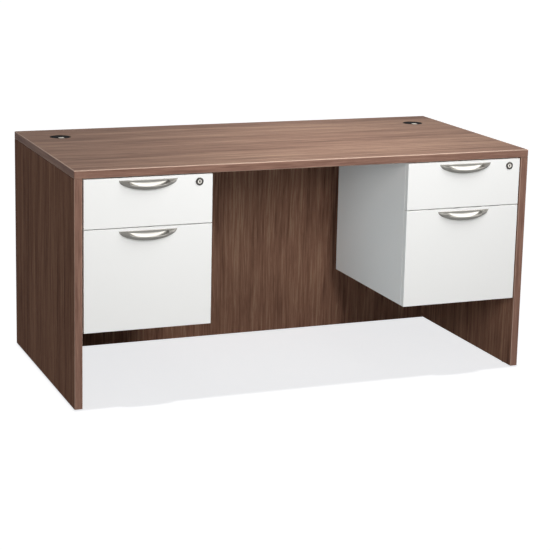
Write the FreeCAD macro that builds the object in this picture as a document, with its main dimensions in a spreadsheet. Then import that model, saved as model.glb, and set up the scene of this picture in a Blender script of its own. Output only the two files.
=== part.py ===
"""Double-pedestal desk: walnut top, end panels and modesty panel, two hanging white drawer pedestals."""
import FreeCAD, Part
import os
import re

# Driving sizes, in millimetres.
SIZES = {
    # Desk body
    "desk_width": 1524.0,
    "desk_depth": 762.0,
    "desk_height": 736.6,
    "worktop_thickness": 25.4,
    "end_panel_thickness": 25.4,
    "edge_band": 3.0,
    "modesty_thickness": 19.0,
    "modesty_inset": 95.0,
    "glide_height": 4.0,
    "glide_radius": 11.0,
    "glide_inset": 60.0,
    "nail_radius": 1.5,
    "nail_length": 16.0,
    # Knock-down cam fasteners between worktop, end panels and modesty panel
    "cam_radius": 7.5,
    "cam_length": 14.0,
    "cam_setback": 34.0,
    "cam_bolt_radius": 3.0,
    "cam_bolt_bite": 11.0,
    "cam_bolt_hold": 4.0,
    "cam_inset": 85.0,
    "drill_clearance": 0.2,
    # Grommets
    "grommet_side_inset": 118.0,
    "grommet_back_inset": 150.0,
    "grommet_hole_radius": 30.0,
    "flange_radius": 35.0,
    "flange_thickness": 1.8,
    "flange_sink": 0.2,
    "sleeve_wall": 2.0,
    "sleeve_length": 22.0,
    "cap_thickness": 3.0,
    "cap_seat_width": 2.0,
    "cap_seat_height": 3.0,
    "cap_clearance": 0.3,
    "cable_slot_width": 18.0,
    "cable_slot_depth": 24.0,
    # Hanging pedestals
    "pedestal_width": 407.0,
    "pedestal_floor_gap": 239.0,
    "pedestal_back_gap": 108.0,
    "case_board": 16.0,
    "case_back_board": 12.0,
    "hanging_screw_radius": 2.2,
    "hanging_screw_bite": 14.0,
    "hanging_screw_head_radius": 4.5,
    "hanging_screw_head": 3.0,
    "hanging_screw_inset": 60.0,
    # Drawer fronts and boxes
    "front_thickness": 19.0,
    "front_setback": 2.0,
    "front_gap": 2.0,
    "front_side_reveal": 4.0,
    "front_knee_reveal": 0.2,
    "front_reveal": 3.0,
    "box_front_height": 151.0,
    "drawer_board": 12.7,
    "drawer_bottom_board": 6.0,
    "drawer_bottom_lift": 10.0,
    "groove_depth": 5.0,
    "groove_clearance": 0.2,
    "drawer_floor_gap": 12.0,
    "drawer_side_drop": 37.0,
    "drawer_rear_gap": 8.0,
    # Telescopic runners
    "runner_width": 12.7,
    "runner_sheet": 1.2,
    "runner_gap": 0.4,
    "runner_inset": 3.0,
    "box_runner_height": 35.0,
    "box_runner_lift": 22.0,
    "file_runner_height": 45.0,
    "file_runner_lift": 70.0,
    # Half-moon scoop handles
    "handle_width": 186.0,
    "handle_height": 31.0,
    "handle_reach": 24.0,
    "handle_bury": 6.0,
    "handle_wall": 2.5,
    "handle_plate": 2.0,
    "handle_rim_drop": 13.0,
    "handle_drop": 8.0,
    "handle_screw_spacing": 128.0,
    "handle_screw_radius": 2.0,
    "handle_screw_head_radius": 4.0,
    "handle_screw_head": 2.6,
    "handle_boss_radius": 4.5,
    # Cam locks of the upper drawers
    "lock_inset": 42.0,
    "lock_bezel_radius": 11.0,
    "lock_bezel_depth": 3.0,
    "lock_barrel_radius": 8.0,
    "lock_plug_radius": 6.5,
    "lock_plug_recess": 0.6,
    "lock_clearance": 0.2,
    "lock_top_gap": 1.2,
    "lock_lip": 8.0,
    "lock_cam_thickness": 3.0,
    "lock_cam_width": 12.0,
    "lock_cam_tip_gap": 6.0,
    "lock_slot_gap": 1.5,
    "key_slot_width": 1.6,
    "key_slot_height": 7.0,
    "key_slot_depth": 5.0,
}

# Places worked out from the driving sizes. The front plane stands back from the handles' lips, so that
# the origin lies on the floor in the middle of the whole desk.
PLACES = {
    "left_face": "-desk_width / 2",
    "right_face": "desk_width / 2",
    "front_plane": "(handle_reach - front_setback - desk_depth) / 2",
    "back_plane": "front_plane + desk_depth",
    "underside": "desk_height - worktop_thickness",
    "panel_height": "underside - glide_height",
    "modesty_back": "back_plane - modesty_inset",
    "modesty_front": "modesty_back - modesty_thickness",
    "left_inner_face": "left_face + end_panel_thickness",
    "right_inner_face": "right_face - end_panel_thickness",
    "left_pedestal": "left_inner_face",
    "right_pedestal": "right_inner_face - pedestal_width",
    "front_face": "front_plane + front_setback",
    "front_rear": "front_face + front_thickness",
    "case_front": "front_rear + front_gap",
    "case_back": "modesty_front - pedestal_back_gap",
    "case_depth": "case_back - case_front",
    "case_height": "underside - pedestal_floor_gap",
    "case_inside": "pedestal_width - 2 * case_board",
    "case_rear_inside": "case_back - case_back_board",
    "box_front_top": "underside - front_reveal",
    "box_front_base": "box_front_top - box_front_height",
    "file_front_top": "box_front_base - front_reveal",
    "file_front_base": "pedestal_floor_gap",
    "file_front_height": "file_front_top - file_front_base",
    "box_side_base": "box_front_base + drawer_floor_gap",
    "file_side_base": "file_front_base + case_board + drawer_floor_gap",
    "box_side_height": "box_front_top - drawer_side_drop - box_side_base",
    "file_side_height": "file_front_top - drawer_side_drop - file_side_base",
    "drawer_length": "case_rear_inside - drawer_rear_gap - front_rear",
    "drawer_width": "case_inside - 2 * runner_width",
    "groove_height": "drawer_bottom_board + 2 * groove_clearance",
    "runner_front": "case_front + runner_inset",
    "runner_length": "case_rear_inside - drawer_rear_gap - runner_front",
    "grommet_y": "back_plane - grommet_back_inset",
    "left_grommet": "left_face + grommet_side_inset",
    "right_grommet": "right_face - grommet_side_inset",
    "flange_top": "desk_height - flange_sink",
    "sleeve_radius": "grommet_hole_radius - drill_clearance",
    "sleeve_bore": "sleeve_radius - sleeve_wall",
    "sleeve_base": "flange_top - sleeve_length",
    "cap_radius": "sleeve_bore - cap_clearance",
    "cap_base": "flange_top - cap_thickness",
    "cap_seat_top": "cap_base - cap_clearance",
    "lock_z": "underside - case_board - lock_barrel_radius - lock_top_gap",
    "lock_barrel_rear": "case_front + lock_lip",
    "lock_cam_front": "lock_barrel_rear + lock_slot_gap",
    "lock_cam_reach": "underside - lock_cam_tip_gap - lock_z",
    "handle_taper": "sqrt(1 - (handle_screw_spacing / handle_width)^2)",
    "boss_drop": "handle_height * handle_taper / 2",
    "screw_bite": "(handle_reach + handle_bury) * handle_taper * sqrt(3) / 2 - handle_bury - handle_wall",
}

AXES = {
    "x": FreeCAD.Rotation(FreeCAD.Vector(0, 1, 0), 90),
    "y": FreeCAD.Rotation(FreeCAD.Vector(1, 0, 0), -90),
    "z": FreeCAD.Rotation(),
}

doc = FreeCAD.newDocument("pedestal_desk")
nodes = []


def fill_sheet():
    """Keep every driving size in one sheet, under its own name."""
    sheet = doc.addObject("Spreadsheet::Sheet", "sizes")
    for row, (name, value) in enumerate(SIZES.items(), start=1):
        sheet.set(f"A{row}", name)
        sheet.set(f"B{row}", str(value))
        sheet.setAlias(f"B{row}", name)
    doc.recompute()


def formula(text):
    """Write out the places named in a formula, down to the sheet's own cells."""

    def expand(match):
        word = match.group(0)
        if word in PLACES:
            return "(" + formula(PLACES[word]) + ")"
        return "sizes." + word if word in SIZES else word

    return re.sub(r"[a-z_]+", expand, text)


def bind(thing, properties):
    """Tie properties of an object to formulas."""
    for name, text in properties.items():
        thing.setExpression(name, formula(text))
    return thing


def put(thing, x, y, z):
    """Tie an object's place to formulas."""
    return bind(thing, {"Placement.Base.x": x, "Placement.Base.y": y, "Placement.Base.z": z})


def block(name, low, lengths):
    """A box from its low corner, with its lengths along X, Y and Z."""
    board = doc.addObject("Part::Box", name)
    bind(board, dict(zip(("Length", "Width", "Height"), lengths)))
    return put(board, *low)


def rod(name, start, radius, length, axis):
    """A cylinder from its start point along +X, +Y or +Z."""
    round_bar = doc.addObject("Part::Cylinder", name)
    round_bar.Placement = FreeCAD.Placement(FreeCAD.Vector(), AXES[axis])
    bind(round_bar, {"Radius": radius, "Height": length})
    return put(round_bar, *start)


def group(name, members):
    """Several separate solids held as one object."""
    held = doc.addObject("Part::Compound", name)
    held.Links = members
    return held


def fuse(name, members):
    """One solid joined from several."""
    joined = doc.addObject("Part::MultiFuse", name)
    joined.Shapes = members
    joined.Refine = True
    return joined


def cut(name, base, tools):
    """A solid less the tools that are cut out of it."""
    result = doc.addObject("Part::Cut", name)
    result.Base = base
    result.Tool = tools[0] if len(tools) == 1 else group(name + "_cuts", tools)
    return result


def common(name, first, second):
    """What two solids share."""
    shared = doc.addObject("Part::Common", name)
    shared.Base = first
    shared.Tool = second
    return shared


def node(thing):
    """Hand an object in as a sub-part, under its own label."""
    nodes.append(thing)
    return thing


def end_panel_cam_places():
    """Front, middle and back cam fasteners in the top of each end panel: side, name and depth."""
    stations = {
        "front": "front_plane + cam_inset",
        "middle": "(front_plane + back_plane) / 2",
        "back": "back_plane - cam_inset",
    }
    return [(side, spot, y) for side in ("left", "right") for spot, y in stations.items()]


def modesty_cam_places():
    """Upper and lower cam fasteners at each end of the modesty panel: side, name and height."""
    stations = {"upper": "underside - cam_inset", "lower": "glide_height + cam_inset"}
    return [(side, spot, z) for side in ("left", "right") for spot, z in stations.items()]


def end_panel_bolt(name, side, y, clearance):
    """Upright bolt between an end panel and the worktop, or its drilling when it has a clearance."""
    x = f"({side}_face + {side}_inner_face) / 2"
    low = f"underside - cam_setback - cam_bolt_hold - {clearance}"
    length = f"cam_setback + cam_bolt_hold + cam_bolt_bite + 2 * {clearance}"
    return rod(name, (x, y, low), f"cam_bolt_radius + {clearance}", length, "z")


def end_panel_cam(name, side, y, clearance):
    """Cam drum let into an end panel's inner face, or its pocket when it has a clearance."""
    start = {"left": "left_inner_face - cam_length", "right": "right_inner_face"}[side]
    if side == "left":
        start += f" - {clearance}"
    place = (start, y, "underside - cam_setback")
    drum = rod(name, place, f"cam_radius + {clearance}", f"cam_length + {clearance}", "x")
    return drum


def modesty_bolt(name, side, z, clearance):
    """Level bolt between the modesty panel and an end panel, or its drilling."""
    reach = {"left": "cam_bolt_bite", "right": "cam_setback + cam_bolt_hold"}[side]
    start = f"{side}_inner_face - ({reach}) - {clearance}"
    length = f"cam_setback + cam_bolt_hold + cam_bolt_bite + 2 * {clearance}"
    place = (start, "(modesty_front + modesty_back) / 2", z)
    return rod(name, place, f"cam_bolt_radius + {clearance}", length, "x")


def modesty_cam(name, side, z, clearance):
    """Cam drum let into the modesty panel's back face, or its pocket."""
    x = {"left": "left_inner_face + cam_setback", "right": "right_inner_face - cam_setback"}[side]
    place = (x, f"modesty_back - cam_length - {clearance}", z)
    return rod(name, place, f"cam_radius + {clearance}", f"cam_length + {clearance}", "y")


def cam_fasteners():
    """Cam bolts with their cam drums, as separate solids."""
    members = []
    families = (
        (end_panel_cam_places(), end_panel_bolt, end_panel_cam, "panel"),
        (modesty_cam_places(), modesty_bolt, modesty_cam, "modesty"),
    )
    for places, make_bolt, make_cam, family in families:
        for side, spot, where in places:
            tag = f"{side}_{spot}_{family}"
            members.append(make_bolt(f"{tag}_bolt", side, where, "0"))
            drum = make_cam(f"{tag}_drum", side, where, "0")
            bore = make_bolt(f"{tag}_drum_bore", side, where, "drill_clearance")
            members.append(cut(f"{tag}_cam", drum, [bore]))
    node(group("cam_fasteners", members))


def worktop():
    """Worktop board with its grommet holes and the drillings for bolts and hanging screws."""
    low = ("left_face + edge_band", "front_plane + edge_band", "underside")
    lengths = ("desk_width - 2 * edge_band", "desk_depth - 2 * edge_band", "worktop_thickness")
    board = block("worktop_board", low, lengths)
    tools = []
    for side in ("left", "right"):
        hole = rod(
            f"{side}_grommet_hole", (f"{side}_grommet", "grommet_y", "underside"),
            "grommet_hole_radius", "worktop_thickness", "z",
        )
        seat = rod(
            f"{side}_flange_seat",
            (f"{side}_grommet", "grommet_y", "flange_top - flange_thickness"),
            "flange_radius + drill_clearance", "flange_thickness + flange_sink", "z",
        )
        tools.append(fuse(f"{side}_grommet_opening", [hole, seat]))
        tools += [
            hanging_screw_shank(f"{side}_{spot}_pilot", x, y, "drill_clearance")
            for spot, x, y in hanging_screw_places(side)
        ]
    for side, spot, y in end_panel_cam_places():
        tools.append(end_panel_bolt(f"{side}_{spot}_worktop_drilling", side, y, "drill_clearance"))
    node(cut("worktop", board, tools))


def edge_bands():
    """Plastic bands: round the worktop's four edges and on the end panels' front and back edges."""
    members = []
    front_and_back = {"front": "front_plane", "back": "back_plane - edge_band"}
    for end, y in front_and_back.items():
        lengths = ("desk_width", "edge_band", "worktop_thickness")
        members.append(block(f"worktop_{end}_band", ("left_face", y, "underside"), lengths))
    for side, x in {"left": "left_face", "right": "right_face - edge_band"}.items():
        lengths = ("edge_band", "desk_depth - 2 * edge_band", "worktop_thickness")
        low = (x, "front_plane + edge_band", "underside")
        members.append(block(f"worktop_{side}_band", low, lengths))
    for side, x in {"left": "left_face", "right": "right_inner_face"}.items():
        for end, y in front_and_back.items():
            lengths = ("end_panel_thickness", "edge_band", "panel_height")
            members.append(block(f"{side}_panel_{end}_band", (x, y, "glide_height"), lengths))
    node(group("edge_bands", members))


def end_panel(side):
    """End panel from the floor glides up to the worktop, drilled for its fasteners."""
    x = {"left": "left_face", "right": "right_inner_face"}[side]
    low = (x, "front_plane + edge_band", "glide_height")
    lengths = ("end_panel_thickness", "desk_depth - 2 * edge_band", "panel_height")
    board = block(f"{side}_end_board", low, lengths)
    tools = []
    for place, spot, y in end_panel_cam_places():
        if place == side:
            bolt = end_panel_bolt(f"{side}_{spot}_bolt_bore", side, y, "drill_clearance")
            pocket = end_panel_cam(f"{side}_{spot}_cam_pocket", side, y, "drill_clearance")
            tools.append(fuse(f"{side}_{spot}_cam_seat", [bolt, pocket]))
    for place, spot, z in modesty_cam_places():
        if place == side:
            tools.append(modesty_bolt(f"{side}_{spot}_bolt_socket", side, z, "drill_clearance"))
    for end in ("front", "back"):
        tools.append(glide_nail(f"{side}_{end}_nail_hole", side, end, "drill_clearance"))
    node(cut(f"{side}_end_panel", board, tools))


def modesty_panel():
    """Upright panel that closes the knee space between the end panels, drilled for its fasteners."""
    low = ("left_inner_face", "modesty_front", "glide_height")
    lengths = ("right_inner_face - left_inner_face", "modesty_thickness", "panel_height")
    board = block("modesty_board", low, lengths)
    tools = []
    for side, spot, z in modesty_cam_places():
        bolt = modesty_bolt(f"{side}_{spot}_modesty_bore", side, z, "drill_clearance")
        pocket = modesty_cam(f"{side}_{spot}_modesty_pocket", side, z, "drill_clearance")
        tools.append(fuse(f"{side}_{spot}_modesty_seat", [bolt, pocket]))
    node(cut("modesty_panel", board, tools))


def glide_place(side, end):
    """Middle of a glide under an end panel, near its front or back."""
    x = f"({side}_face + {side}_inner_face) / 2"
    y = {"front": "front_plane + glide_inset", "back": "back_plane - glide_inset"}[end]
    return x, y


def glide_nail(name, side, end, clearance):
    """Nail of a glide, driven up into the end panel, or its hole."""
    x, y = glide_place(side, end)
    length = f"nail_length + {clearance}"
    return rod(name, (x, y, "glide_height"), f"nail_radius + {clearance}", length, "z")


def floor_glides():
    """Round nail-on glides that carry the desk."""
    members = []
    for side in ("left", "right"):
        for end in ("front", "back"):
            x, y = glide_place(side, end)
            pad = rod(f"{side}_{end}_glide_pad", (x, y, "0"), "glide_radius", "glide_height", "z")
            nail = glide_nail(f"{side}_{end}_glide_nail", side, end, "0")
            members.append(fuse(f"{side}_{end}_glide", [pad, nail]))
    node(group("floor_glides", members))


def grommets():
    """Cable grommets: flanged sleeves let into the worktop, and a turning cap with a cable slot in each."""
    sleeves = []
    for side in ("left", "right"):
        x = f"{side}_grommet"
        flange = rod(
            f"{side}_flange", (x, "grommet_y", "flange_top - flange_thickness"),
            "flange_radius", "flange_thickness", "z",
        )
        tube = rod(
            f"{side}_sleeve_tube", (x, "grommet_y", "sleeve_base"),
            "sleeve_radius", "sleeve_length", "z",
        )
        bore = rod(
            f"{side}_sleeve_bore", (x, "grommet_y", "cap_seat_top"),
            "sleeve_bore", "flange_top - cap_seat_top", "z",
        )
        throat = rod(
            f"{side}_sleeve_throat", (x, "grommet_y", "sleeve_base"),
            "sleeve_bore - cap_seat_width", "sleeve_length", "z",
        )
        relief = rod(
            f"{side}_sleeve_relief", (x, "grommet_y", "sleeve_base"),
            "sleeve_bore", "cap_seat_top - cap_seat_height - sleeve_base", "z",
        )
        hollow = fuse(f"{side}_sleeve_hollow", [bore, throat, relief])
        sleeves.append(cut(f"{side}_sleeve", fuse(f"{side}_sleeve_blank", [flange, tube]), [hollow]))
        disc = rod(f"{side}_cap_disc", (x, "grommet_y", "cap_base"), "cap_radius", "cap_thickness", "z")
        low = (f"{x} - cable_slot_width / 2", "grommet_y - sleeve_bore", "cap_base")
        lengths = ("cable_slot_width", "cable_slot_depth", "cap_thickness")
        slot = block(f"{side}_cable_slot", low, lengths)
        node(cut(f"{side}_grommet_cap", disc, [slot]))
    node(group("grommet_sleeves", sleeves))


def hanging_screw_places(side):
    """Four screws that hang a pedestal from the worktop: name, place along X and along Y."""
    columns = {
        "left": f"{side}_pedestal + hanging_screw_inset",
        "right": f"{side}_pedestal + pedestal_width - hanging_screw_inset",
    }
    rows = {"front": "case_front + hanging_screw_inset", "back": "case_back - hanging_screw_inset"}
    return [(f"{col}_{row}", x, y) for col, x in columns.items() for row, y in rows.items()]


def hanging_screw_shank(name, x, y, clearance):
    """Shank from a case top's underside up into the worktop, or its hole."""
    length = f"case_board + hanging_screw_bite + {clearance}"
    place = (x, y, "underside - case_board")
    return rod(name, place, f"hanging_screw_radius + {clearance}", length, "z")


def hanging_screws():
    """Screws through the case tops into the worktop."""
    members = []
    for side in ("left", "right"):
        for spot, x, y in hanging_screw_places(side):
            shank = hanging_screw_shank(f"{side}_{spot}_shank", x, y, "0")
            head = rod(
                f"{side}_{spot}_head", (x, y, "underside - case_board - hanging_screw_head"),
                "hanging_screw_head_radius", "hanging_screw_head", "z",
            )
            members.append(fuse(f"{side}_{spot}_hanging_screw", [shank, head]))
    node(group("hanging_screws", members))


def pedestal(side):
    """Drawer case: two sides, top, bottom and back, hung under the worktop."""
    x = f"{side}_pedestal"
    inside = f"{x} + case_board"
    far_side = f"{x} + pedestal_width - case_board"
    edges = {"left": (x, far_side), "right": (far_side, x)}[side]
    for face, edge in zip(("outer", "inner"), edges):
        low = (edge, "case_front", "pedestal_floor_gap")
        node(block(f"{side}_pedestal_{face}_side", low, ("case_board", "case_depth", "case_height")))
    board_depth = "case_rear_inside - case_front"
    low = (inside, "case_front", "pedestal_floor_gap")
    node(block(f"{side}_pedestal_bottom", low, ("case_inside", board_depth, "case_board")))
    low = (inside, "case_rear_inside", "pedestal_floor_gap")
    node(block(f"{side}_pedestal_back", low, ("case_inside", "case_back_board", "case_height")))
    low = (inside, "case_front", "underside - case_board")
    board = block(f"{side}_top_board", low, ("case_inside", board_depth, "case_board"))
    tools = [
        hanging_screw_shank(f"{side}_{spot}_screw_hole", screw_x, y, "drill_clearance")
        for spot, screw_x, y in hanging_screw_places(side)
    ]
    tools.append(lock_slot(side))
    node(cut(f"{side}_pedestal_top", board, tools))


def lock_x(side):
    """Middle of a lock, set in from the right side of its pedestal."""
    return f"{side}_pedestal + pedestal_width - lock_inset"


def lock_slot(side):
    """Slot through a case top, behind its front lip, that takes the raised cam."""
    low = (
        f"{lock_x(side)} - lock_cam_reach - lock_slot_gap",
        "lock_cam_front - lock_slot_gap",
        "underside - case_board",
    )
    lengths = (
        "lock_cam_reach + lock_cam_width / 2 + 2 * lock_slot_gap",
        "lock_cam_thickness + 2 * lock_slot_gap",
        "case_board",
    )
    return block(f"{side}_lock_slot", low, lengths)


def lock(side):
    """Cam lock: a barrel in the drawer front, and the key plug that turns in it with the cam."""
    x = lock_x(side)
    bezel_front = "front_face - lock_bezel_depth"
    bezel = rod(f"{side}_bezel", (x, bezel_front, "lock_z"), "lock_bezel_radius", "lock_bezel_depth", "y")
    body = rod(
        f"{side}_barrel_body", (x, "front_face", "lock_z"),
        "lock_barrel_radius", "lock_barrel_rear - front_face", "y",
    )
    bore = rod(
        f"{side}_barrel_bore", (x, bezel_front, "lock_z"),
        "lock_plug_radius + lock_clearance", f"lock_barrel_rear - ({bezel_front})", "y",
    )
    node(cut(f"{side}_lock_barrel", fuse(f"{side}_barrel_blank", [bezel, body]), [bore]))
    plug_front = f"{bezel_front} + lock_plug_recess"
    rod_length = f"lock_cam_front - ({plug_front})"
    core = rod(f"{side}_plug_core", (x, plug_front, "lock_z"), "lock_plug_radius", rod_length, "y")
    low = (f"{x} - key_slot_width / 2", plug_front, "lock_z - key_slot_height / 2")
    key_slot = block(f"{side}_key_slot", low, ("key_slot_width", "key_slot_depth", "key_slot_height"))
    plug = cut(f"{side}_plug", core, [key_slot])
    low = (f"{x} - lock_cam_reach", "lock_cam_front", "lock_z - lock_cam_width / 2")
    tongue = block(f"{side}_tongue", low, ("lock_cam_reach", "lock_cam_thickness", "lock_cam_width"))
    hub = rod(f"{side}_hub", (x, "lock_cam_front", "lock_z"), "lock_cam_width / 2", "lock_cam_thickness", "y")
    cam = fuse(f"{side}_lock_cam", [tongue, hub])
    node(group(f"{side}_lock_plug", [plug, cam]))


def channel(name, low, lengths, open_side):
    """Folded sheet channel along Y, open towards the left or the right."""
    x, y, z = low
    width, length, height = lengths
    blank = block(f"{name}_blank", low, lengths)
    shift = {"left": "0", "right": "runner_sheet"}[open_side]
    hollow = block(
        f"{name}_hollow", (f"{x} + {shift}", y, f"{z} + runner_sheet"),
        (f"{width} - runner_sheet", length, f"{height} - 2 * runner_sheet"),
    )
    return cut(name, blank, [hollow])


def nested_channel(name, side, kind, hand, layer):
    """One member of a runner pair: 0 the case's, 1 the middle's, and the last the drawer's.

    Members lie in each other with a running gap. The case's and the middle's members open towards the
    drawer, and the drawer's member opens towards the case.
    """
    layers = {"box": 2, "file": 3}[kind]
    step = "(runner_sheet + runner_gap)"
    base = f"{kind}_side_base + {kind}_runner_lift + {layer} * {step}"
    height = f"{kind}_runner_height - 2 * {layer} * {step}"
    width = f"runner_width - {layer} * {step}"
    is_drawers = layer == layers - 1
    if not is_drawers:
        width += f" - {layers - 1 - layer} * {step}"
    wall = f"{side}_pedestal + case_board"
    far_wall = f"{side}_pedestal + pedestal_width - case_board"
    if hand == "left":
        x = f"{wall} + {layer} * {step}"
    else:
        x = f"{far_wall} - {layer} * {step} - ({width})"
    towards_drawer = {"left": "right", "right": "left"}[hand]
    open_side = hand if is_drawers else towards_drawer
    lengths = (f"({width})", "runner_length", f"({height})")
    return channel(f"{name}_{hand}", (f"({x})", "runner_front", f"({base})"), lengths, open_side)


def runners():
    """Telescopic drawer runners: the case's members, the file drawers' middle ones and the drawers' own."""
    fixed = []
    for side in ("left", "right"):
        for kind in ("box", "file"):
            name = f"{side}_{kind}"
            hands = ("left", "right")
            fixed += [nested_channel(f"{name}_case_runner", side, kind, hand, 0) for hand in hands]
            last = 1
            if kind == "file":
                middle = [nested_channel(f"{name}_middle_runner", side, kind, hand, 1) for hand in hands]
                node(group(f"{name}_middle_runners", middle))
                last = 2
            own = [nested_channel(f"{name}_drawer_runner", side, kind, hand, last) for hand in hands]
            node(group(f"{name}_drawer_runners", own))
    node(group("case_runners", fixed))


def drawer_front(side, kind):
    """Drawer front, drilled for the handle's screws and, on an upper drawer, for the lock."""
    left_reveal = {"left": "front_side_reveal", "right": "front_knee_reveal"}[side]
    width = "pedestal_width - front_side_reveal - front_knee_reveal"
    low = (f"{side}_pedestal + {left_reveal}", "front_face", f"{kind}_front_base")
    lengths = (width, "front_thickness", f"{kind}_front_height")
    board = block(f"{side}_{kind}_front_board", low, lengths)
    tools = [
        rod(
            f"{side}_{kind}_{hand}_front_hole", (x, "front_face", handle_screw_z(kind)),
            "handle_screw_radius + drill_clearance", "front_thickness", "y",
        )
        for hand, x in handle_screw_places(side)
    ]
    if kind == "box":
        tools.append(
            rod(
                f"{side}_lock_hole", (lock_x(side), "front_face", "lock_z"),
                "lock_barrel_radius + lock_clearance", "front_thickness", "y",
            )
        )
    node(cut(f"{side}_{kind}_drawer_front", board, tools))


def drawer_box(side, kind):
    """Drawer box: grooved sides, a bottom let into the grooves and a back that stands on the bottom."""
    name = f"{side}_{kind}_drawer"
    left = f"{side}_pedestal + case_board + runner_width"
    right = f"{left} + drawer_width - drawer_board"
    base = f"{kind}_side_base"
    groove_base = f"{base} + drawer_bottom_lift"
    bottom_base = f"{groove_base} + groove_clearance"
    grooves = {"left": f"{left} + drawer_board - groove_depth", "right": right}
    for hand, x in {"left": left, "right": right}.items():
        board = block(
            f"{name}_{hand}_board", (x, "front_rear", base),
            ("drawer_board", "drawer_length", f"{kind}_side_height"),
        )
        groove = block(
            f"{name}_{hand}_groove", (grooves[hand], "front_rear", groove_base),
            ("groove_depth", "drawer_length", "groove_height"),
        )
        node(cut(f"{name}_{hand}_side", board, [groove]))
    inner = f"{left} + drawer_board"
    low = (f"{inner} - groove_depth + groove_clearance", "front_rear", bottom_base)
    width = "drawer_width - 2 * drawer_board + 2 * groove_depth - 2 * groove_clearance"
    node(block(f"{name}_bottom", low, (width, "drawer_length", "drawer_bottom_board")))
    back_base = f"{bottom_base} + drawer_bottom_board"
    low = (inner, "front_rear + drawer_length - drawer_board", back_base)
    height = f"{base} + {kind}_side_height - ({back_base})"
    node(block(f"{name}_back", low, ("drawer_width - 2 * drawer_board", "drawer_board", height)))


def handle_middle(side):
    """Middle of a handle along X."""
    return f"{side}_pedestal + pedestal_width / 2"


def handle_screw_places(side):
    """A handle's two screws: name and place along X."""
    middle = handle_middle(side)
    return {
        "left": f"{middle} - handle_screw_spacing / 2",
        "right": f"{middle} + handle_screw_spacing / 2",
    }.items()


def handle_screw_z(kind):
    """Height of a handle's screws."""
    return f"{kind}_front_top - handle_drop - boss_drop"


def bowl(name, side, kind, wall):
    """Ellipsoid of a handle, centred behind the drawer front on the line of the handle's top edge."""
    shell = doc.addObject("Part::Ellipsoid", name)
    bind(
        shell,
        {
            "Radius1": f"handle_height - {wall}",
            "Radius2": f"handle_width / 2 - {wall}",
            "Radius3": f"handle_reach + handle_bury - {wall}",
        },
    )
    top = f"{kind}_front_top - handle_drop"
    return put(shell, handle_middle(side), "front_face + handle_bury", top)


def handle(side, kind):
    """Half-moon scoop handle: a crescent plate with a bowl below a sloping rim, open upwards."""
    name = f"{side}_{kind}_handle"
    top = f"{kind}_front_top - handle_drop"
    keep = doc.addObject("Part::Wedge", f"{name}_keep")
    bind(
        keep,
        {
            "Xmin": "-handle_width",
            "Xmax": "handle_width",
            "X2min": "-handle_width",
            "X2max": "handle_width",
            "Ymin": "-2 * handle_reach",
            "Ymax": "0",
            "Zmin": "-2 * handle_height",
            "Zmax": "-2 * handle_rim_drop",
            "Z2min": "-2 * handle_height",
            "Z2max": "0",
        },
    )
    put(keep, handle_middle(side), "front_face", top)
    solid = common(f"{name}_solid", bowl(f"{name}_outer", side, kind, "0"), keep)
    low = (
        f"{handle_middle(side)} - handle_width",
        "front_face - 2 * handle_reach",
        f"{top} - 2 * handle_height",
    )
    lengths = ("2 * handle_width", "2 * handle_reach - handle_plate", "4 * handle_height")
    ahead = block(f"{name}_ahead", low, lengths)
    inside = common(f"{name}_inside", bowl(f"{name}_inner", side, kind, "handle_wall"), ahead)
    bosses = []
    holes = []
    for hand, x in handle_screw_places(side):
        tip = (x, "front_face - handle_reach", handle_screw_z(kind))
        bosses.append(rod(f"{name}_{hand}_boss", tip, "handle_boss_radius", "handle_reach", "y"))
        start = (x, "front_face - screw_bite - drill_clearance", handle_screw_z(kind))
        length = "screw_bite + drill_clearance"
        radius = "handle_screw_radius + drill_clearance"
        holes.append(rod(f"{name}_{hand}_thread", start, radius, length, "y"))
    hollow = cut(f"{name}_hollow", inside, bosses)
    node(cut(name, solid, [hollow] + holes))


def handle_screws(side, kind):
    """Screws from inside the drawer through its front into the handle's bosses."""
    members = []
    for hand, x in handle_screw_places(side):
        z = handle_screw_z(kind)
        name = f"{side}_{kind}_{hand}_handle_screw"
        length = "screw_bite + front_thickness"
        shank = rod(f"{name}_shank", (x, "front_face - screw_bite", z), "handle_screw_radius", length, "y")
        head = rod(
            f"{name}_head", (x, "front_rear", z), "handle_screw_head_radius", "handle_screw_head", "y"
        )
        members.append(fuse(name, [shank, head]))
    node(group(f"{side}_{kind}_handle_screws", members))


def check_model():
    """Stop if any object failed or any sub-part has no sound shape."""
    failed = [thing.Label for thing in doc.Objects if {"Invalid", "Error"} & set(thing.State)]
    unsound = [thing.Label for thing in nodes if thing.Shape.isNull() or not thing.Shape.isValid()]
    empty = [thing.Label for thing in nodes if not thing.Shape.Solids]
    if failed or unsound or empty:
        raise RuntimeError(f"failed {failed}, unsound {unsound}, empty {empty}")


fill_sheet()
worktop()
edge_bands()
end_panel("left")
end_panel("right")
modesty_panel()
cam_fasteners()
floor_glides()
grommets()
hanging_screws()
runners()
for desk_side in ("left", "right"):
    pedestal(desk_side)
    lock(desk_side)
    for drawer_kind in ("box", "file"):
        drawer_front(desk_side, drawer_kind)
        drawer_box(desk_side, drawer_kind)
        handle(desk_side, drawer_kind)
        handle_screws(desk_side, drawer_kind)

doc.recompute()
check_model()
os.makedirs("parts", exist_ok=True)
for part in nodes:
    part.Shape.exportStep(f"parts/{part.Label}.step")
    print(part.Label, len(part.Shape.Solids), "solids", round(part.Shape.Volume / 1000.0, 2), "cm3")
print(len(nodes), "nodes")
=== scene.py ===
"""Looks of a double-pedestal desk: walnut-grain boards, white hanging drawer cases, nickel pulls and locks."""
import math

import bpy
import numpy as np
from bpy.props import FloatProperty, FloatVectorProperty, PointerProperty
from mathutils import Matrix, Vector


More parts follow.
